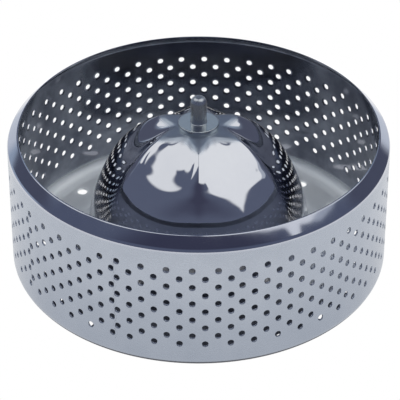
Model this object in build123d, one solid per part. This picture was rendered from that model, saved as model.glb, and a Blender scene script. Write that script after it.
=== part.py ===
from build123d import *
import os
from math import asin, atan2, cos, degrees, hypot, pi, radians, sin

# Basket strainer: a drawn, perforated bowl with a fluted core dome in the middle and a
# round-nosed stud bolted through the crown of the dome. Millimetres and degrees.
# The origin is on the axis, in the plane that the basket stands on. +Z is up.
# Azimuth 0 is the -Y side, and azimuths grow towards +X.

# ---- perforated bowl -------------------------------------------------------------------
SHELL_R = 95.0            # outside radius of the wall
SHELL_SHEET = 0.8         # sheet thickness of the bowl
SHELL_TOP = 74.9          # top of the rim
SHOULDER_IN = 5.7         # how far the rim turns in
SHOULDER_RISE = 6.6       # height of the turned-in shoulder
KNEE_R = 3.0              # outside radius where the wall turns into the shoulder
LIP_R = 1.2               # outside radius where the shoulder turns flat at the rim
CORNER_R = 5.7            # outside radius of the bottom corner

HOLE_R = 1.5              # wall perforation
ROW_FIRST = 14.8          # height of the lowest row of holes
ROW_PITCH = 4.8           # height between rows
ROW_COUNT = 10
COLUMN_PITCH = 3.7        # angle between columns
COLUMNS_PER_HIT = 10      # one stroke of the punch makes ten columns
HIT_FIRST = -24.0         # azimuth of the first column of the first stroke
HIT_STEP = 36.0           # angle that the bowl turns between strokes
HIT_SLIP = (0.0, 0.5, 1.0, -0.5, 0.0, 0.0, 0.5, 1.5, 2.0, 1.0)

LAND_RISE = 1.0           # the middle of the floor is stepped up to clear the dome's flange
LAND_OUT_R = 70.0         # where the step starts
LAND_IN_R = 68.0          # where the step ends
OPENING_R = 57.6          # opening in the floor that the dome comes up through

DRAIN_R = 2.5             # drain hole in the floor
DRAIN_CIRCLE_R = 81.5
DRAINS_PER_HIT = 5
DRAIN_STEP = 18.0
DRAIN_FIRST = 101.2       # azimuth of the first drain hole
DRAIN_SLIP = (0.0, 2.5, 1.0, 0.5)

# ---- core dome -------------------------------------------------------------------------
DOME_SHEET = 0.8
FLANGE_R = 66.5           # outside radius of the flange under the floor
FLANGE_TOP = LAND_RISE    # the flange lies against the underside of the floor
LOBES = 6
# Height, radius at a crease and radius at the middle of a panel, from the foot to the crown
DOME_LEVELS = ((1.0, 57.4, 57.4), (13.0, 56.9, 56.8), (24.4, 55.9, 55.5), (34.6, 54.2, 53.3),
               (41.6, 52.1, 50.6), (46.5, 50.2, 48.2), (50.3, 48.2, 45.8), (54.0, 45.8, 42.9),
               (57.4, 43.2, 39.9), (60.4, 40.7, 37.0), (63.6, 37.6, 33.5), (67.0, 34.2, 29.5),
               (70.4, 30.3, 24.8), (73.0, 26.8, 20.2), (75.3, 23.0, 15.2), (76.6, 19.2, 12.2),
               (77.0, 16.0, 10.6))
CROWN_Z = DOME_LEVELS[-1][0]
CREASE_SOFT = 3.0         # width over which two panels roll into each other at a crease
PANEL_STEPS = 12          # points across a panel in the curve round one level

# ---- stud (8 mm pin on an M6 shank) and its fixings --------------------------------------
STUD_R = 4.0
STUD_TOP = 93.9
NOSE_R = 3.4              # rounding of the pin's end
SHANK_R = 2.95            # threaded end, modelled at its outside diameter
SHANK_CHAMFER = 0.6
STUD_BORE_R = 3.3         # clearance holes for the shank; the pin's shoulder rests on the washer
WASHER_R = 10.2
WASHER_T = 2.5
WASHER_EDGE = 0.5         # polished bevel
BACKING_R = 9.0
BACKING_T = 1.6
LOCK_R = 5.9
LOCK_T = 1.6
LOCK_GAP = 1.4            # slot in the spring washer
NUT_FLATS = 10.0
NUT_T = 5.0
NUT_CHAMFER = 0.7
SHANK_BEYOND_NUT = 2.5

THROUGH = 40.0            # a cutter that is long enough to pass right through
PUNCH = 5.0               # a punch that passes through one wall only


def polar(radius, azimuth, height):
    """Point at an azimuth measured from -Y towards +X."""
    a = radians(azimuth)
    return (radius * sin(a), -radius * cos(a), height)


def turned(points):
    """Solid of revolution about Z from a closed outline of (radius, height) points."""
    outline = Polyline(*[(r, 0, z) for r, z in points], close=True)
    return revolve(make_face(outline), Axis.Z)


def shoulder(inset):
    """Knee, straight flank and lip from the wall over to the rim, moved in by the inset."""
    knee = (SHELL_R - KNEE_R, SHELL_TOP - SHOULDER_RISE)
    lip = (SHELL_R - SHOULDER_IN, SHELL_TOP - LIP_R)
    across, up = knee[0] - lip[0], lip[1] - knee[1]
    turn = atan2(across, up) + asin((KNEE_R - LIP_R) / hypot(across, up))
    start, end = [(centre[0] + (radius - inset) * cos(turn), centre[1] + (radius - inset) * sin(turn))
                  for centre, radius in ((knee, KNEE_R), (lip, LIP_R))]
    sweep = degrees(turn)
    return [
        Plane.XZ * CenterArc(knee, KNEE_R - inset, 0, sweep),
        Plane.XZ * Line(start, end),
        Plane.XZ * CenterArc(lip, LIP_R - inset, sweep, 90 - sweep),
    ]


def bowl_blank():
    """The drawn bowl before it is pierced, as one outline turned about the axis."""
    t = SHELL_SHEET
    rim_r = SHELL_R - SHOULDER_IN
    spring = SHELL_TOP - SHOULDER_RISE
    corner = SHELL_R - CORNER_R
    upright = Plane.XZ
    outline = [
        upright * Line((OPENING_R, LAND_RISE), (LAND_IN_R, LAND_RISE)),
        upright * Line((LAND_IN_R, LAND_RISE), (LAND_OUT_R, 0)),
        upright * Line((LAND_OUT_R, 0), (corner, 0)),
        upright * CenterArc((corner, CORNER_R), CORNER_R, -90, 90),
        upright * Line((SHELL_R, CORNER_R), (SHELL_R, spring)),
        *shoulder(0),
        upright * Line((rim_r, SHELL_TOP), (rim_r, SHELL_TOP - t)),
        *shoulder(t),
        upright * Line((SHELL_R - t, spring), (SHELL_R - t, CORNER_R)),
        upright * CenterArc((corner, CORNER_R), CORNER_R - t, -90, 90),
        upright * Line((corner, t), (LAND_OUT_R, t)),
        upright * Line((LAND_OUT_R, t), (LAND_IN_R, LAND_RISE + t)),
        upright * Line((LAND_IN_R, LAND_RISE + t), (OPENING_R, LAND_RISE + t)),
        upright * Line((OPENING_R, LAND_RISE + t), (OPENING_R, LAND_RISE)),
    ]
    return revolve(make_face(outline), Axis.Z)


def wall_punches():
    """Radial punches for the wall: ten rows, with every second column half a pitch higher."""
    punches = []
    for hit, slip in enumerate(HIT_SLIP):
        for column in range(COLUMNS_PER_HIT):
            azimuth = HIT_FIRST + hit * HIT_STEP + slip + column * COLUMN_PITCH
            first_row = 1 - column % 2
            for row in range(first_row, ROW_COUNT, 2):
                height = ROW_FIRST + row * ROW_PITCH
                place = Pos(*polar(SHELL_R, azimuth, height)) * Rot(0, 0, azimuth) * Rot(90, 0, 0)
                punches.append(place * Cylinder(HOLE_R, PUNCH))
    return punches


def drain_punches():
    """Punches for the ring of drain holes in the floor."""
    punches = []
    for hit, slip in enumerate(DRAIN_SLIP):
        for index in range(DRAINS_PER_HIT):
            azimuth = DRAIN_FIRST + slip + (hit * DRAINS_PER_HIT + index) * DRAIN_STEP
            punches.append(Pos(*polar(DRAIN_CIRCLE_R, azimuth, 0)) * Cylinder(DRAIN_R, PUNCH))
    return punches


def basket_shell():
    return bowl_blank().cut(*wall_punches(), *drain_punches())


def dome_section(crease, middle, height):
    """Closed curve round one level: nearly flat panels that roll over into each other."""
    half = pi / LOBES
    roll = CREASE_SOFT / crease
    points = []
    for step in range(LOBES * PANEL_STEPS):
        azimuth = 2 * half * step / PANEL_STEPS
        from_crease = abs((azimuth + half) % (2 * half) - half)
        across = (hypot(from_crease, roll) - roll) / (hypot(half, roll) - roll)
        radius = crease - (crease - middle) * (1 - (1 - across) ** 2)
        points.append(polar(radius, degrees(azimuth), height))
    return Wire([Spline(*points, periodic=True)])


def inner_levels():
    """The levels of the dome's inner skin: the outer ones moved in square to the sheet."""
    levels = []
    last = len(DOME_LEVELS) - 1
    for index, (height, crease, middle) in enumerate(DOME_LEVELS):
        below = DOME_LEVELS[max(index - 1, 0)]
        above = DOME_LEVELS[min(index + 1, last)]
        rise = above[0] - below[0]
        run = (above[1] + above[2] - below[1] - below[2]) / 2
        inward = DOME_SHEET * rise / hypot(rise, run)
        down = DOME_SHEET * run / hypot(rise, run)
        levels.append((height + down, crease - inward, middle - inward))
    levels[-1] = (CROWN_Z - DOME_SHEET, *levels[-1][1:])
    return levels


def dome_skin(levels, bottom):
    """Solid dome through the levels, carried straight down to the bottom height."""
    foot = levels[0]
    sections = [dome_section(foot[1], foot[2], bottom)]
    sections += [dome_section(crease, middle, height) for height, crease, middle in levels]
    return Solid.make_loft(sections, ruled=False)


def core_dome():
    """Pressed dome: six panels between creases, with a flat crown and a flange at its foot."""
    underside = FLANGE_TOP - DOME_SHEET
    outer = dome_skin(DOME_LEVELS, underside)
    flange = Pos(0, 0, FLANGE_TOP - DOME_SHEET / 2) * Cylinder(FLANGE_R, DOME_SHEET)
    hollow = dome_skin(inner_levels(), underside - DOME_SHEET)
    bore = Pos(0, 0, CROWN_Z) * Cylinder(STUD_BORE_R, THROUGH)
    return (outer + flange).cut(hollow, bore)


def lift_stud():
    """Turned stud: round-nosed pin, and a thinner shank down through the crown."""
    seat = CROWN_Z + WASHER_T
    shank_end = nut_stack()[2] - SHANK_BEYOND_NUT
    pin = Pos(0, 0, (seat + STUD_TOP) / 2) * Cylinder(STUD_R, STUD_TOP - seat)
    pin = fillet(pin.edges().group_by(Axis.Z)[-1], NOSE_R)
    shank = Pos(0, 0, (seat + shank_end) / 2) * Cylinder(SHANK_R, seat - shank_end)
    shank = chamfer(shank.edges().group_by(Axis.Z)[0], SHANK_CHAMFER)
    return pin + shank


def seat_washer():
    """Thick washer on the crown, with a polished bevel round its top edge."""
    disc = Pos(0, 0, CROWN_Z + WASHER_T / 2) * Cylinder(WASHER_R, WASHER_T)
    disc = chamfer(disc.edges().group_by(Axis.Z)[-1], WASHER_EDGE)
    return disc - Pos(0, 0, CROWN_Z) * Cylinder(STUD_BORE_R, THROUGH)


def ring(outer, inner, bottom, thickness):
    middle = Pos(0, 0, bottom + thickness / 2)
    return middle * Cylinder(outer, thickness) - middle * Cylinder(inner, THROUGH)


def nut_stack():
    """Heights of the undersides of the backing washer, the spring washer and the nut."""
    backing = CROWN_Z - DOME_SHEET - BACKING_T
    lock = backing - LOCK_T
    return backing, lock, lock - NUT_T


def backing_washer():
    return ring(BACKING_R, STUD_BORE_R, nut_stack()[0], BACKING_T)


def lock_washer():
    """Split spring washer, closed up flat under the nut."""
    bottom = nut_stack()[1]
    slot = Pos(LOCK_R, 0, bottom) * Box(2 * LOCK_R, LOCK_GAP, THROUGH)
    return ring(LOCK_R, STUD_BORE_R, bottom, LOCK_T) - slot


def stud_nut():
    """Hexagon nut, chamfered on the side away from the washers."""
    bottom = nut_stack()[2]
    hexagon = RegularPolygon(NUT_FLATS / 2, 6, major_radius=False)
    body = Pos(0, 0, bottom) * extrude(hexagon, NUT_T)
    face_r = NUT_FLATS / 2
    corner_r = face_r / cos(pi / 6)
    cone = turned([(0, bottom), (face_r, bottom), (corner_r, bottom + NUT_CHAMFER),
                   (corner_r, bottom + NUT_T), (0, bottom + NUT_T)])
    return (body & cone) - Pos(0, 0, bottom) * Cylinder(SHANK_R, THROUGH)


PARTS = {
    "basket_shell": basket_shell,
    "core_dome": core_dome,
    "lift_stud": lift_stud,
    "seat_washer": seat_washer,
    "backing_washer": backing_washer,
    "lock_washer": lock_washer,
    "stud_nut": stud_nut,
}

os.makedirs("parts", exist_ok=True)
for name, make in PARTS.items():
    solid = make()
    solid.label = name
    export_step(solid, f"parts/{name}.step")
    print(name, round(solid.volume, 1))
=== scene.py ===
import math

import bpy
import numpy as np
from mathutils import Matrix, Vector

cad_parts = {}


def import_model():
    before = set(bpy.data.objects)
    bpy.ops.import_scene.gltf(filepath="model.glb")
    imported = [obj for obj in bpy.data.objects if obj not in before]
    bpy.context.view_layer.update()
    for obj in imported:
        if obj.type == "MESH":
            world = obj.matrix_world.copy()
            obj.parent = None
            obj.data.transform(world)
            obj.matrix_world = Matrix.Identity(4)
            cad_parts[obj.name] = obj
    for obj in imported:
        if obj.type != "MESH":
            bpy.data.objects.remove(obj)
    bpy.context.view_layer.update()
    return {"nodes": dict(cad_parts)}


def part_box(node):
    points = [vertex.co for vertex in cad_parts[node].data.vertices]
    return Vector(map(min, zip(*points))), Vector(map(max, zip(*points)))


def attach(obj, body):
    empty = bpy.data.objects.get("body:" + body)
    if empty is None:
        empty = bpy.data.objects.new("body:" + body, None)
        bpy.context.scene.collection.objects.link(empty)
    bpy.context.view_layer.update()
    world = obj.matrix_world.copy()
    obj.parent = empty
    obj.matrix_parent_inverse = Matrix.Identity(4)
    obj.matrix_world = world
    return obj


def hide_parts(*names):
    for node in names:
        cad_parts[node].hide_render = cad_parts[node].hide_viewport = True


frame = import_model()

MM = 0.001

# ---- the frame's own measures (metres) ---------------------------------------------------
SHELL_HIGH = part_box("basket_shell")[1]
SHELL_R = SHELL_HIGH.x
RIM_Z = SHELL_HIGH.z
STUD_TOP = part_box("lift_stud")[1].z
WASHER_LOW, WASHER_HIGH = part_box("seat_washer")
SHANK_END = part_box("lift_stud")[0].z

# ---- sheet metal, as in the CAD ----------------------------------------------------------
SHEET = 0.8 * MM
SHOULDER_IN = 5.7 * MM
SHOULDER_RISE = 6.6 * MM
KNEE_R = 3.0 * MM
LIP_R = 1.2 * MM
CORNER_R = 5.7 * MM
HOLE_R = 1.5 * MM
ROW_FIRST = 14.8 * MM
ROW_PITCH = 4.8 * MM
ROWS = 10
COLUMN_PITCH = 3.7
COLUMNS_PER_HIT = 10
HIT_FIRST = -24.0
HIT_STEP = 36.0
HIT_SLIP = (0.0, 0.5, 1.0, -0.5, 0.0, 0.0, 0.5, 1.5, 2.0, 1.0)
LAND_RISE = 1.0 * MM
LAND_IN_R = 68.0 * MM
LAND_SLOPE = 1.2 * MM
OPENING_R = 57.6 * MM
DRAIN_R = 2.5 * MM
DRAIN_CIRCLE_R = 81.5 * MM
DRAIN_BAND = 4.5 * MM
DRAINS_PER_HIT = 5
DRAIN_STEP = 18.0
DRAIN_FIRST = 101.2
DRAIN_SLIP = (0.0, 2.5, 1.0, 0.5)

# Rings of a punched hole as (radius over the hole's radius, depth over the sheet's thickness):
# the outer skin and the edge that the punch rolls in, then the hole's wall and the inner skin.
HOLE_MOUTH = ((1.75, 0.0), (1.32, 0.0), (1.14, 0.06), (1.04, 0.20), (1.0, 0.36))
HOLE_EXIT = ((1.0, 0.98), (1.02, 1.0), (1.75, 1.0))

LOBES = 6
CROWN_Z = 77.0 * MM
FLANGE_R = 66.5 * MM
FLANGE_Z = 0.2 * MM
FOOT_OUT_R = 58.4 * MM
FOOT_IN_R = 57.0 * MM
CROWN_TOP_R = 9.6 * MM
CROWN_UNDER_R = 9.0 * MM
BORE_R = 3.3 * MM
SHANK_R = 2.95 * MM

# ---- camera -------------------------------------------------------------------------------
VIEW_ELEVATION = math.radians(35.01)
VIEW_DISTANCE = 1.1012
VIEW_CENTRE_Z = 0.0320
LENS = 195.6
SENSOR = 36.0
SHIFT_X = 0.0034

# ---- mesh fineness --------------------------------------------------------------------------
WELD = 0.002 * MM
DOME_SEGMENTS = 480
LEVEL_STEPS = 10
CELL_STEPS = 8


# ---- mesh helpers ---------------------------------------------------------------------------
def polar(radius, azimuth, height):
    """Points at azimuths (radians) measured from -Y towards +X."""
    radius, azimuth, height = np.broadcast_arrays(radius, azimuth, height)
    return np.stack([radius * np.sin(azimuth), -radius * np.cos(azimuth), height], axis=-1)


class Builder:
    """Collects patches of quads, welds their shared points, and makes one mesh of them."""

    def __init__(self):
        self.points = []
        self.faces = []
        self.count = 0

    def add(self, points, faces):
        self.points.append(np.asarray(points, float).reshape(-1, 3))
        self.faces.append(np.asarray(faces, int).reshape(-1, 4) + self.count)
        self.count += len(self.points[-1])

    def grid(self, points, flip=False):
        """A patch of rows and columns of points."""
        rows, columns = points.shape[:2]
        index = np.arange(rows * columns).reshape(rows, columns)
        quads = np.stack([index[:-1, :-1], index[:-1, 1:], index[1:, 1:], index[1:, :-1]], axis=-1)
        if flip:
            quads = quads[..., ::-1]
        self.add(points, quads)

    def rings(self, rings, flip=False):
        """Closed loops of points, each joined to the next."""
        rings = np.asarray(rings)
        closed = np.concatenate([rings, rings[:, :1]], axis=1)
        self.grid(closed, flip)

    def make(self, name, sharp=40.0):
        """Welds the patches into one smooth object, with creases sharper than the angle in degrees."""
        points = np.concatenate(self.points)
        faces = np.concatenate(self.faces)
        _, first, inverse = np.unique(np.round(points / WELD).astype(np.int64), axis=0,
                                      return_index=True, return_inverse=True)
        faces = inverse.reshape(-1)[faces]
        polygons = []
        for face in faces.tolist():
            corners = [c for i, c in enumerate(face) if c != face[i - 1]]
            if len(corners) > 2:
                polygons.append(corners)
        mesh = bpy.data.meshes.new(name)
        mesh.from_pydata(points[first].tolist(), [], polygons)
        mesh.validate()
        mesh.update()
        mesh.shade_smooth()
        mesh.set_sharp_from_angle(angle=math.radians(sharp))
        piece = bpy.data.objects.new(name, mesh)
        bpy.context.scene.collection.objects.link(piece)
        return piece


def turned(name, outline, segments=96, sharp=40.0):
    """Solid of revolution from a closed outline of (radius, height) points."""
    builder = Builder()
    azimuths = np.linspace(0, 2 * math.pi, segments, endpoint=False)
    loop = list(outline) + [outline[0]]
    builder.rings([polar(r, azimuths, z) for r, z in loop], flip=True)
    return builder.make(name, sharp)


def arc(centre, radius, start, end, steps):
    """(radius, height) points along an arc, with angles in degrees from straight out."""
    angles = np.radians(np.linspace(start, end, steps + 1))
    return [(centre[0] + radius * math.cos(a), centre[1] + radius * math.sin(a)) for a in angles]


# ---- perforated bowl ------------------------------------------------------------------------
def wall_columns():
    """Azimuth of every column of wall holes, in radians, in order round the bowl."""
    azimuths = [HIT_FIRST + hit * HIT_STEP + slip + column * COLUMN_PITCH
                for hit, slip in enumerate(HIT_SLIP) for column in range(COLUMNS_PER_HIT)]
    return np.radians(azimuths)


def meridian(inset):
    """Outline of the bowl's skin from the floor's opening to the rim, moved in by the inset."""
    spring = RIM_Z - SHOULDER_RISE
    knee = (SHELL_R - KNEE_R, spring)
    lip = (SHELL_R - SHOULDER_IN, RIM_Z - LIP_R)
    across, up = knee[0] - lip[0], lip[1] - knee[1]
    turn = math.degrees(math.atan2(across, up) + math.asin((KNEE_R - LIP_R) / math.hypot(across, up)))
    corner = SHELL_R - CORNER_R
    floor = [(OPENING_R, LAND_RISE + inset), (62 * MM, LAND_RISE + inset)]
    floor += [(LAND_IN_R + LAND_SLOPE * t, inset + LAND_RISE * (1 + math.cos(math.pi * t)) / 2)
              for t in np.linspace(0, 1, 7)]
    floor += [(72 * MM, inset), (DRAIN_CIRCLE_R - DRAIN_BAND, inset)]
    bottom = [(DRAIN_CIRCLE_R + DRAIN_BAND, inset)] + arc((corner, CORNER_R), CORNER_R - inset, -90, 0, 12)
    bottom += [(SHELL_R - inset, ROW_FIRST - ROW_PITCH)]
    top = [(SHELL_R - inset, z) for z in np.linspace(ROW_FIRST + ROWS * ROW_PITCH, spring, 4)]
    top += arc(knee, KNEE_R - inset, 0, turn, 8)[1:]
    top += arc(lip, LIP_R - inset, turn, 90, 8)
    return floor, bottom, top


def pierce(builder, outer, inner, perimeter, centre, radius, depth):
    """One hole in a cell of sheet: both skins from the cell's edge to the hole, and the hole's wall.

    outer and inner place points of the cell, (across, along), at a depth under their own skin."""
    around = np.unwrap(np.arctan2(perimeter[:, 1] - centre[1], perimeter[:, 0] - centre[0]))
    whole_turn = 2 * math.pi * np.sign(around[-1] - around[0])
    steps = np.linspace(around[0], around[0] + whole_turn, len(around), endpoint=False)
    spin = steps + np.mean(around - steps)
    unit = np.stack([np.cos(spin), np.sin(spin)], axis=1)
    rings = [outer(centre + unit * radius * grow, sink * depth) for grow, sink in HOLE_MOUTH + HOLE_EXIT]
    builder.rings([outer(perimeter, 0.0)] + rings + [inner(perimeter, 0.0)])


def cell_edge(across, along):
    """The points of a cell's four sides, in order round it."""
    return np.concatenate([
        np.stack([across, np.full(len(across), along[0])], axis=1)[:-1],
        np.stack([np.full(len(along), across[-1]), along], axis=1)[:-1],
        np.stack([across[::-1], np.full(len(across), along[-1])], axis=1)[:-1],
        np.stack([np.full(len(along), across[0]), along[::-1]], axis=1)[:-1]])


def wall_cells(builder, spokes, columns):
    """The perforated band: a cell round every hole, and blank half cells at its two edges."""
    def skin(r):
        def place(points, sink):
            return polar(r - sink, points[:, 0] / SHELL_R, points[:, 1])
        return place
    outer, inner = skin(SHELL_R), skin(SHELL_R - SHEET)
    for index, azimuth in enumerate(columns):
        across = spokes[index] * SHELL_R
        first = 1 - (index % COLUMNS_PER_HIT) % 2
        for row in range(first, ROWS, 2):
            centre = np.array([azimuth * SHELL_R, ROW_FIRST + row * ROW_PITCH])
            heights = np.linspace(centre[1] - ROW_PITCH, centre[1] + ROW_PITCH, CELL_STEPS + 1)
            pierce(builder, outer, inner, cell_edge(across, heights), centre, HOLE_R, SHEET)
        low = ROW_FIRST - ROW_PITCH if first else ROW_FIRST + (ROWS - 1) * ROW_PITCH
        heights = np.linspace(low, low + ROW_PITCH, CELL_STEPS // 2 + 1)
        for radius, flip in ((SHELL_R, False), (SHELL_R - SHEET, True)):
            builder.grid(polar(radius, spokes[index][None, :], heights[:, None]), flip)


def drain_cells(builder, ring):
    """The band of the floor that holds the drain holes, cut into one cell for each hole."""
    azimuths = [math.radians(DRAIN_FIRST + slip + (hit * DRAINS_PER_HIT + i) * DRAIN_STEP)
                for hit, slip in enumerate(DRAIN_SLIP) for i in range(DRAINS_PER_HIT)]
    low, high = DRAIN_CIRCLE_R - DRAIN_BAND, DRAIN_CIRCLE_R + DRAIN_BAND
    radii = np.linspace(low, high, 7)
    count = len(ring)
    doubled = np.concatenate([ring, ring + 2 * math.pi])
    tripled = np.concatenate([doubled, ring + 4 * math.pi])
    edges = []
    for i, azimuth in enumerate(azimuths):
        before = azimuths[i - 1] - (2 * math.pi if i == 0 else 0)
        edges.append(int(round(np.interp((azimuth + before) / 2, doubled, np.arange(2 * count)))))
    edges.append(edges[0] + count)

    def skin(height):
        def place(points, sink):
            return polar(points[:, 1], points[:, 0] / DRAIN_CIRCLE_R, height - sink)
        return place

    for i, azimuth in enumerate(azimuths):
        across = tripled[edges[i]:edges[i + 1] + 1] * DRAIN_CIRCLE_R
        centre = np.array([azimuth * DRAIN_CIRCLE_R, DRAIN_CIRCLE_R])
        pierce(builder, skin(SHEET), skin(0.0), cell_edge(across, radii), centre, DRAIN_R, SHEET)


def basket_shell():
    """The drawn bowl: plain stretches turned round the axis, and two bands cut into cells of one hole."""
    columns = wall_columns()
    following = np.roll(columns, -1)
    following[-1] += 2 * math.pi
    middles = (columns + following) / 2
    before = np.roll(middles, 1)
    before[0] -= 2 * math.pi
    spokes = [np.concatenate([np.linspace(b, c, 3)[:-1], np.linspace(c, a, 3)])
              for b, c, a in zip(before, columns, middles)]
    ring = np.concatenate([s[:-1] for s in spokes])
    builder = Builder()
    for inset, flip in ((0.0, False), (SHEET, True)):
        for stretch in meridian(inset):
            builder.rings([polar(r, ring, z) for r, z in stretch], flip)
    for radius, low, high in ((SHELL_R - SHOULDER_IN, RIM_Z, RIM_Z - SHEET),
                              (OPENING_R, LAND_RISE + SHEET, LAND_RISE)):
        builder.rings([polar(radius, ring, z) for z in np.linspace(low, high, 3)])
    wall_cells(builder, spokes, columns)
    drain_cells(builder, ring)
    return builder.make("basket_shell_sheet", sharp=50.0)


# ---- core dome --------------------------------------------------------------------------------
# Height, radius at a crease and radius at the middle of a panel, from the foot to the crown.
DOME_LEVELS = ((1.0, 57.4, 57.4), (13.0, 56.9, 56.8), (24.4, 55.9, 55.5), (34.6, 54.2, 53.3),
               (41.6, 52.1, 50.6), (46.5, 50.2, 48.2), (50.3, 48.2, 45.8), (54.0, 45.8, 42.9),
               (57.4, 43.2, 39.9), (60.4, 40.7, 37.0), (63.6, 37.6, 33.5), (67.0, 34.2, 29.5),
               (70.4, 30.3, 24.8), (73.0, 26.8, 20.2), (75.3, 23.0, 15.2), (76.6, 19.2, 12.2),
               (77.0, 16.0, 10.6))
CREASE_SOFT = 3.0 * MM


def smooth_curve(points, steps):
    """Catmull-Rom curve through the points."""
    p = np.array(points, float)
    p = np.vstack([2 * p[0] - p[1], p, 2 * p[-1] - p[-2]])
    out = []
    for i in range(1, len(p) - 2):
        for t in np.linspace(0, 1, steps, endpoint=False):
            a, b, c, d = p[i - 1:i + 3]
            out.append(0.5 * (2 * b + (c - a) * t + (2 * a - 5 * b + 4 * c - d) * t ** 2
                              + (3 * b - a - 3 * c + d) * t ** 3))
    out.append(p[-2])
    return np.array(out)


def dome_section(azimuths, crease, middle):
    """Radius round one level: nearly flat panels that roll over into each other at the creases."""
    half = math.pi / LOBES
    from_crease = np.abs((azimuths + half) % (2 * half) - half)
    roll = CREASE_SOFT / crease
    soft = np.hypot(from_crease, roll) - roll
    across = soft / (math.hypot(half, roll) - roll)
    return crease - (crease - middle) * (1 - (1 - across) ** 2)


def core_dome():
    """The pressed dome: its outer skin, an inner skin one sheet inside it, crown, foot and flange."""
    builder = Builder()
    azimuths = np.linspace(0, 2 * math.pi, DOME_SEGMENTS, endpoint=False)
    levels = smooth_curve(DOME_LEVELS, LEVEL_STEPS) * MM
    outer = [polar(dome_section(azimuths, crease, middle), azimuths, z) for z, crease, middle in levels]
    slope = np.gradient(levels, axis=0)
    slope /= np.hypot(slope[:, :1], (slope[:, 1:2] + slope[:, 2:3]) / 2)
    inner = [polar(dome_section(azimuths, crease - SHEET * s[0], middle - SHEET * s[0]), azimuths,
                   z + SHEET * (s[1] + s[2]) / 2)
             for (z, crease, middle), s in zip(levels, slope)]
    foot = [polar(r, azimuths, LAND_RISE) for r in (FLANGE_R, FOOT_OUT_R)]
    crown = [polar(r, azimuths, CROWN_Z) for r in (CROWN_TOP_R, BORE_R)]
    under = [polar(r, azimuths, CROWN_Z - SHEET) for r in (BORE_R, CROWN_UNDER_R)]
    base = [polar(r, azimuths, FLANGE_Z) for r in (FOOT_IN_R, FLANGE_R)]
    builder.rings(foot + outer + crown + under + inner[::-1] + base + foot[:1])
    return builder.make("core_dome_sheet", sharp=60.0)


# ---- stud and washer ------------------------------------------------------------------------------
def seat_washer():
    """Flat washer with a broken lower edge and a rounder upper one."""
    low, high = WASHER_LOW.z, WASHER_HIGH.z
    r = WASHER_HIGH.x
    low_edge = 0.15 * MM
    edge = 0.45 * MM
    outline = [(BORE_R, low), (r - low_edge, low)]
    outline += arc((r - low_edge, low + low_edge), low_edge, -90, 0, 3)
    outline += arc((r - edge, high - edge), edge, 0, 90, 6)
    outline += [(r - 1.4 * MM, high), (6.5 * MM, high), (BORE_R, high)]
    return turned("seat_washer_disc", outline, 128, sharp=50.0)


def lift_stud():
    """Round-nosed pin with a small fillet at its root, on a thinner bevelled shank."""
    seat = WASHER_HIGH.z
    nose = 3.4 * MM
    r = 4.0 * MM
    root = 0.3 * MM
    bevel = 0.6 * MM
    outline = [(0.0, SHANK_END), (SHANK_R - bevel, SHANK_END), (SHANK_R, SHANK_END + bevel), (SHANK_R, seat)]
    outline += arc((r + root, seat + root), root, 270, 180, 5)
    outline += [(r, seat + 5 * MM), (r, STUD_TOP - nose - 1 * MM)]
    outline += arc((r - nose, STUD_TOP - nose), nose, 0, 90, 12) + [(0.0, STUD_TOP)]
    return turned("lift_stud_pin", outline, 96, sharp=50.0)


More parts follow.
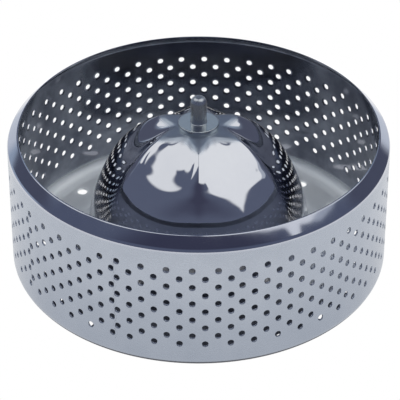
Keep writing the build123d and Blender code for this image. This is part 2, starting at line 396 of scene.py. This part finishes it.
# ---- materials -------------------------------------------------------------------------------------
class Nodes:
    """Short names for building the nodes of a material or of the world."""

    def __init__(self, owner):
        owner.use_nodes = True
        self.owner = owner
        self.tree = owner.node_tree
        self.shader = self.tree.nodes.get("Principled BSDF")

    def new(self, kind, **settings):
        node = self.tree.nodes.new(kind)
        for key, value in settings.items():
            setattr(node, key, value)
        return node

    def link(self, source, target):
        self.tree.links.new(source, target)

    def value(self, source, target):
        """Links a socket, or sets a plain number."""
        if isinstance(source, (int, float)):
            target.default_value = source
        else:
            self.link(source, target)

    def maths(self, operation, a, b=0.0, c=0.0):
        node = self.new("ShaderNodeMath", operation=operation)
        for i, v in enumerate((a, b, c)):
            self.value(v, node.inputs[i])
        return node.outputs[0]

    def step(self, value, low, high):
        """0 at low, 1 at high, smooth between; falls where low is the larger."""
        node = self.new("ShaderNodeMapRange", interpolation_type="SMOOTHSTEP")
        self.value(value, node.inputs[0])
        node.inputs[1].default_value = low
        node.inputs[2].default_value = high
        return node.outputs[0]

    def noise(self, vector, scale, detail=3.0, roughness=0.5):
        node = self.new("ShaderNodeTexNoise")
        node.inputs["Scale"].default_value = scale
        node.inputs["Detail"].default_value = detail
        node.inputs["Roughness"].default_value = roughness
        self.link(vector, node.inputs["Vector"])
        return node.outputs["Fac"]

    def mix(self, factor, a, b):
        """Blend of two colours or sockets."""
        node = self.new("ShaderNodeMix", data_type="RGBA")
        self.value(factor, node.inputs[0])
        for v, socket in ((a, node.inputs[6]), (b, node.inputs[7])):
            if isinstance(v, tuple):
                socket.default_value = (*v, 1.0)
            else:
                self.link(v, socket)
        return node.outputs[2]

    def blend(self, factor, a, b):
        """Blend of two numbers or sockets."""
        node = self.new("ShaderNodeMix", data_type="FLOAT")
        self.value(factor, node.inputs[0])
        self.value(a, node.inputs[2])
        self.value(b, node.inputs[3])
        return node.outputs[0]

    def bump(self, height, strength, distance):
        """Bumps the material's normal by a height."""
        node = self.new("ShaderNodeBump")
        node.inputs["Strength"].default_value = strength
        node.inputs["Distance"].default_value = distance
        self.link(height, node.inputs["Height"])
        self.link(node.outputs[0], self.shader.inputs["Normal"])

    def split(self, vector):
        """The three parts of a vector."""
        node = self.new("ShaderNodeSeparateXYZ")
        self.link(vector, node.inputs[0])
        return node.outputs

    def position(self):
        """Object coordinates, their parts and their radius."""
        coordinates = self.new("ShaderNodeTexCoord").outputs["Object"]
        x, y, z = self.split(coordinates)
        squares = [self.maths("MULTIPLY", part, part) for part in (x, y)]
        radius = self.maths("SQRT", self.maths("ADD", *squares))
        return coordinates, (x, y, z), radius

    def cylinder(self, xyz, radius, squash):
        """Coordinates unrolled round the axis: angle, height and radius, each scaled."""
        x, y, z = xyz
        angle = self.maths("ARCTAN2", x, self.maths("MULTIPLY", y, -1.0))
        node = self.new("ShaderNodeCombineXYZ")
        self.link(self.maths("MULTIPLY", angle, squash[0]), node.inputs[0])
        self.link(self.maths("MULTIPLY", z, squash[1]), node.inputs[1])
        self.link(self.maths("MULTIPLY", radius, squash[2]), node.inputs[2])
        return node.outputs[0]


def steel(name, colour, roughness, grain=0.0, streak=(10.0, 4000.0, 300.0)):
    """Plain worked steel: fine turning grain and a faint mottle."""
    n = Nodes(bpy.data.materials.new(name))
    coordinates, xyz, radius = n.position()
    n.shader.inputs["Metallic"].default_value = 1.0
    mottle = n.noise(coordinates, 90.0, 4.0, 0.6)
    dark = tuple(c * 0.86 for c in colour)
    n.link(n.mix(mottle, dark, colour), n.shader.inputs["Base Color"])
    lines = n.noise(n.cylinder(xyz, radius, streak), 1.0, 2.0)
    n.link(n.maths("ADD", n.maths("MULTIPLY", lines, 0.12), roughness - 0.06), n.shader.inputs["Roughness"])
    n.bump(lines, grain, 0.02 * MM)
    return n.owner


def shell_steel():
    """Satin wall outside, polished shoulder, darker polished inside, scuffed floor.

    The front and left of the floor carry painted shade, and the lighter colour inside the front wall
    is painted light on steel that is also duller there."""
    n = Nodes(bpy.data.materials.new("shell_steel"))
    coordinates, xyz, radius = n.position()
    height = xyz[2]
    facing = n.split(n.new("ShaderNodeTexCoord").outputs["Normal"])[2]
    inside = n.step(radius, SHELL_R - SHEET * 0.3, SHELL_R - SHEET * 0.7)
    shoulder = n.step(height, RIM_Z - SHOULDER_RISE - 1.0 * MM, RIM_Z - SHOULDER_RISE + 0.5 * MM)
    shoulder = n.maths("MULTIPLY", shoulder, n.step(facing, -0.05, 0.05))
    floor = n.maths("MULTIPLY", inside, n.step(height, 7.0 * MM, 3.0 * MM))
    mottle = n.noise(coordinates, 60.0, 5.0, 0.65)
    stain = n.noise(coordinates, 28.0, 4.0, 0.7)
    fine = n.noise(n.cylinder(xyz, radius, (60.0, 900.0, 60.0)), 1.0, 3.0)
    # Painted shade and light: the satin outside is darker near the foot and lighter towards the rim.
    shaded_satin_low = n.mix(mottle, (0.30, 0.335, 0.40), (0.37, 0.405, 0.47))
    lit_satin_high = n.mix(mottle, (0.38, 0.415, 0.48), (0.48, 0.515, 0.58))
    satin = n.mix(n.step(height, 2.0 * MM, 62.0 * MM), shaded_satin_low, lit_satin_high)
    bright = n.mix(mottle, (0.48, 0.50, 0.58), (0.57, 0.59, 0.65))
    floor_scuff_and_shade = n.mix(mottle, (0.82, 0.87, 0.89), (0.94, 0.97, 0.98))
    # Painted shade: the floor's front and left are darkened to near black over the scuffed tone.
    leftward = n.maths("MINIMUM", xyz[0], 0.0)
    floor_shade_mask = n.step(n.maths("MULTIPLY_ADD", leftward, 0.6, xyz[1]), -5.0 * MM, -55.0 * MM)
    floor_scuff_and_shade = n.mix(floor_shade_mask, floor_scuff_and_shade, (0.05, 0.055, 0.07))
    inside_stain_and_light = n.mix(n.step(stain, 0.32, 0.68), (0.14, 0.15, 0.19), (0.29, 0.305, 0.35))
    # Painted light: the inside of the front wall is given a lighter colour over the stained dark inside.
    front = n.step(xyz[1], 5.0 * MM, -50.0 * MM)
    inside_stain_and_light = n.mix(front, inside_stain_and_light, (0.50, 0.53, 0.62))
    walls = n.mix(shoulder, n.mix(inside, satin, inside_stain_and_light), bright)
    n.link(n.mix(floor, walls, floor_scuff_and_shade), n.shader.inputs["Base Color"])
    satin_rough = n.maths("MULTIPLY_ADD", fine, 0.12, 0.22)
    polish_rough = n.maths("MULTIPLY_ADD", mottle, 0.10, 0.04)
    wall_rough = n.blend(front, n.maths("MULTIPLY_ADD", stain, 0.16, 0.03), 0.5)
    rough = n.blend(shoulder, n.blend(inside, satin_rough, wall_rough), polish_rough)
    n.link(n.blend(floor, rough, 0.55), n.shader.inputs["Roughness"])
    n.link(n.blend(floor, 1.0, 0.45), n.shader.inputs["Metallic"])
    n.bump(fine, 0.15, 0.02 * MM)
    return n.owner


def dome_steel():
    """Mirror polish with very faint orange peel left by the press, and a satin crown."""
    n = Nodes(bpy.data.materials.new("dome_steel"))
    coordinates, xyz, radius = n.position()
    n.shader.inputs["Metallic"].default_value = 1.0
    mottle = n.noise(coordinates, 45.0, 4.0, 0.6)
    crown = n.step(xyz[2], 74.6 * MM, 76.3 * MM)
    mirror = n.mix(mottle, (0.60, 0.61, 0.66), (0.70, 0.71, 0.74))
    satin = n.mix(mottle, (0.40, 0.45, 0.53), (0.59, 0.64, 0.69))
    n.link(n.mix(crown, mirror, satin), n.shader.inputs["Base Color"])
    foot = n.step(xyz[2], 56.0 * MM, 30.0 * MM)
    polish = n.maths("MULTIPLY_ADD", mottle, 0.05, 0.015)
    polish = n.maths("MULTIPLY_ADD", crown, 0.34, polish)
    n.link(n.maths("MULTIPLY_ADD", foot, 0.17, polish), n.shader.inputs["Roughness"])
    n.bump(n.noise(coordinates, 160.0, 2.0), 0.05, 0.05 * MM)
    return n.owner


def paint(piece, material):
    piece.data.materials.clear()
    piece.data.materials.append(material)


# ---- pieces ----------------------------------------------------------------------------------------
def place(piece, node, slot, material):
    """Paints a piece and puts it in place of its CAD node."""
    paint(piece, material)
    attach(piece, "root")
    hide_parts(node)


place(basket_shell(), "basket_shell", "shell_steel", shell_steel())
place(core_dome(), "core_dome", "dome_steel", dome_steel())
place(seat_washer(), "seat_washer", "washer_steel",
      steel("washer_steel", (0.70, 0.74, 0.74), roughness=0.14, grain=0.1))
place(lift_stud(), "lift_stud", "stud_steel",
      steel("stud_steel", (0.56, 0.59, 0.62), roughness=0.28, grain=0.2))
fixings = steel("fixing_steel", (0.55, 0.55, 0.56), roughness=0.3, grain=0.2)
for node in ("backing_washer", "lock_washer", "stud_nut"):
    paint(frame["nodes"][node], fixings)


# ---- surroundings ------------------------------------------------------------------------------------
FLOOR_R = 0.30
FLOOR_DROP = 0.05 * MM


def emitter(name, colour, strength):
    """A surface that glows evenly."""
    n = Nodes(bpy.data.materials.new(name))
    n.tree.nodes.clear()
    glow = n.new("ShaderNodeEmission")
    glow.inputs["Color"].default_value = (*colour, 1.0)
    glow.inputs["Strength"].default_value = strength
    n.link(glow.outputs[0], n.new("ShaderNodeOutputMaterial").inputs["Surface"])
    return n.owner


def floor_disc():
    """The pale floor, just under the object."""
    builder = Builder()
    azimuths = np.linspace(0, 2 * math.pi, 96, endpoint=False)
    builder.rings([polar(r, azimuths, -FLOOR_DROP) for r in np.linspace(0.001, FLOOR_R, 8)], flip=True)
    floor = builder.make("studio_floor")
    paint(floor, emitter("studio_floor", (1.0, 1.0, 1.0), 1.0))


ROOM_FRONT = (0.125, 0.145, 0.215)
ROOM_FRONT_HIGH = (0.062, 0.066, 0.110)
ROOM_BACK_LEFT = (0.42, 0.50, 0.62)
ROOM_BACK_RIGHT = (0.33, 0.40, 0.50)
ROOM_BACK_LOW = (0.10, 0.11, 0.16)
CROWN_GAP = (0.10, 0.12, 0.18)
BACKDROP = (0.75, 0.79, 0.86)
WHITE_CARD = (0.97, 0.985, 1.0)
BRIGHT_CARD = (1.00, 1.015, 1.03)
DIM_CARD = (0.50, 0.54, 0.62)

# Cards hung over the object: white ones to the left, bright ones to the right and a dim one at the
# far right. Each has its corners, in order round it, and its colour. A corner is where its direction
# meets a ceiling one unit above the object, as (towards +X, towards +Y). A card hides those before it.
CEILING_CARDS = (
    (((-0.03, -0.05), (-0.76, -0.05), (-1.03, 0.00), (-1.20, 0.30), (-1.47, 0.90), (-1.40, 1.06),
      (-1.22, 1.07), (-0.03, 0.03)), WHITE_CARD),
    (((-0.03, -0.37), (-0.45, -0.37), (-0.80, -0.43), (-0.89, -0.36), (-0.76, 0.05),
      (-0.03, 0.03)), WHITE_CARD),
    (((-0.96, 0.30), (-0.98, -0.02), (-1.06, -0.22), (-1.18, -0.16), (-1.34, 0.10), (-1.45, 0.60),
      (-1.40, 0.90)), WHITE_CARD),
    (((-0.37, 0.42), (-1.15, 1.11), (-1.00, 1.15), (-0.45, 0.60)), WHITE_CARD),
    (((1.10, -0.40), (1.42, -0.26), (1.56, 0.02), (1.62, 0.50), (1.45, 1.00), (1.10, 0.90)), DIM_CARD),
    (((0.03, -0.64), (0.38, -0.64), (0.68, -0.59), (1.22, -0.35), (1.30, 0.02), (1.40, 0.60),
      (1.42, 1.00), (1.20, 1.05), (0.03, 0.03)), BRIGHT_CARD),
    (((0.76, -0.44), (1.02, -0.36), (1.33, -0.77)), BRIGHT_CARD),
)
CARD_EDGE = 0.05
DULL_BOOST = 1.9


def card_mask(n, u, v, corners):
    """1 inside the convex card, 0 outside, with a soft edge."""
    points = [np.array(c) for c in corners]
    middle = sum(points) / len(points)
    depth = None
    for start, end in zip(points, points[1:] + points[:1]):
        along = (end - start) / np.linalg.norm(end - start)
        inward = np.array([-along[1], along[0]])
        if inward @ (middle - start) < 0:
            inward = -inward
        line = n.maths("MULTIPLY_ADD", u, float(inward[0]), float(-inward @ start))
        line = n.maths("MULTIPLY_ADD", v, float(inward[1]), line)
        depth = line if depth is None else n.maths("MINIMUM", depth, line)
    return n.step(depth, -CARD_EDGE / 2, CARD_EDGE / 2)


def world():
    """White cards in a dim blue room with a pale backdrop.

    The camera itself sees plain white, and dull surfaces get more light than a mirror shows."""
    scene = bpy.context.scene
    scene.world = bpy.data.worlds.new("studio")
    n = Nodes(scene.world)
    n.tree.nodes.clear()
    direction = n.new("ShaderNodeTexCoord").outputs["Generated"]
    x, y, z = n.split(direction)
    above = n.step(z, 0.05, 0.15)
    height = n.maths("MAXIMUM", z, 0.05)
    u, v = n.maths("DIVIDE", x, height), n.maths("DIVIDE", y, height)
    back = n.mix(n.step(x, -0.5, 0.5), ROOM_BACK_LEFT, ROOM_BACK_RIGHT)
    far_left = n.maths("MULTIPLY", n.step(x, -0.30, -0.50), n.step(z, 0.14, 0.06))
    low = n.mix(far_left, ROOM_BACK_LOW, ROOM_BACK_LEFT)
    back = n.mix(n.step(z, 0.42, 0.60), low, back)
    behind = n.maths("MULTIPLY", n.step(z, 0.10, 0.02), n.step(y, 0.70, 0.80))
    back = n.mix(behind, back, BACKDROP)
    gap = n.maths("MULTIPLY", n.step(n.maths("ABSOLUTE", u), 0.55, 0.35), n.step(v, 1.50, 1.15))
    back = n.mix(gap, back, CROWN_GAP)
    high = n.maths("MULTIPLY", n.step(y, -0.35, -0.58), n.step(z, 0.45, 0.70))
    light = n.mix(high, ROOM_FRONT, ROOM_FRONT_HIGH)
    light = n.mix(n.step(y, 0.02, 0.25), light, back)
    for corners, colour in CEILING_CARDS:
        mask = n.maths("MULTIPLY", card_mask(n, u, v, corners), above)
        light = n.mix(mask, light, colour)
    room = n.new("ShaderNodeBackground")
    n.link(light, room.inputs["Color"])
    path = n.new("ShaderNodeLightPath")
    strength = n.maths("MULTIPLY_ADD", path.outputs["Is Diffuse Ray"], DULL_BOOST, 1.0)
    n.link(strength, room.inputs["Strength"])
    seen = n.new("ShaderNodeBackground")
    seen.inputs["Color"].default_value = (1, 1, 1, 1)
    mix = n.new("ShaderNodeMixShader")
    n.link(path.outputs["Is Camera Ray"], mix.inputs[0])
    n.link(room.outputs[0], mix.inputs[1])
    n.link(seen.outputs[0], mix.inputs[2])
    n.link(mix.outputs[0], n.new("ShaderNodeOutputWorld").inputs["Surface"])


def camera():
    """A view from the front and above, through a long lens."""
    data = bpy.data.cameras.new("camera")
    data.lens = LENS
    data.sensor_width = SENSOR
    data.shift_x = SHIFT_X
    view = bpy.data.objects.new("camera", data)
    view.location = (0, -VIEW_DISTANCE * math.cos(VIEW_ELEVATION),
                     VIEW_CENTRE_Z + VIEW_DISTANCE * math.sin(VIEW_ELEVATION))
    view.rotation_euler = (math.pi / 2 - VIEW_ELEVATION, 0, 0)
    bpy.context.scene.collection.objects.link(view)
    bpy.context.scene.camera = view


floor_disc()
world()
camera()
bpy.context.scene.view_settings.view_transform = "Standard"
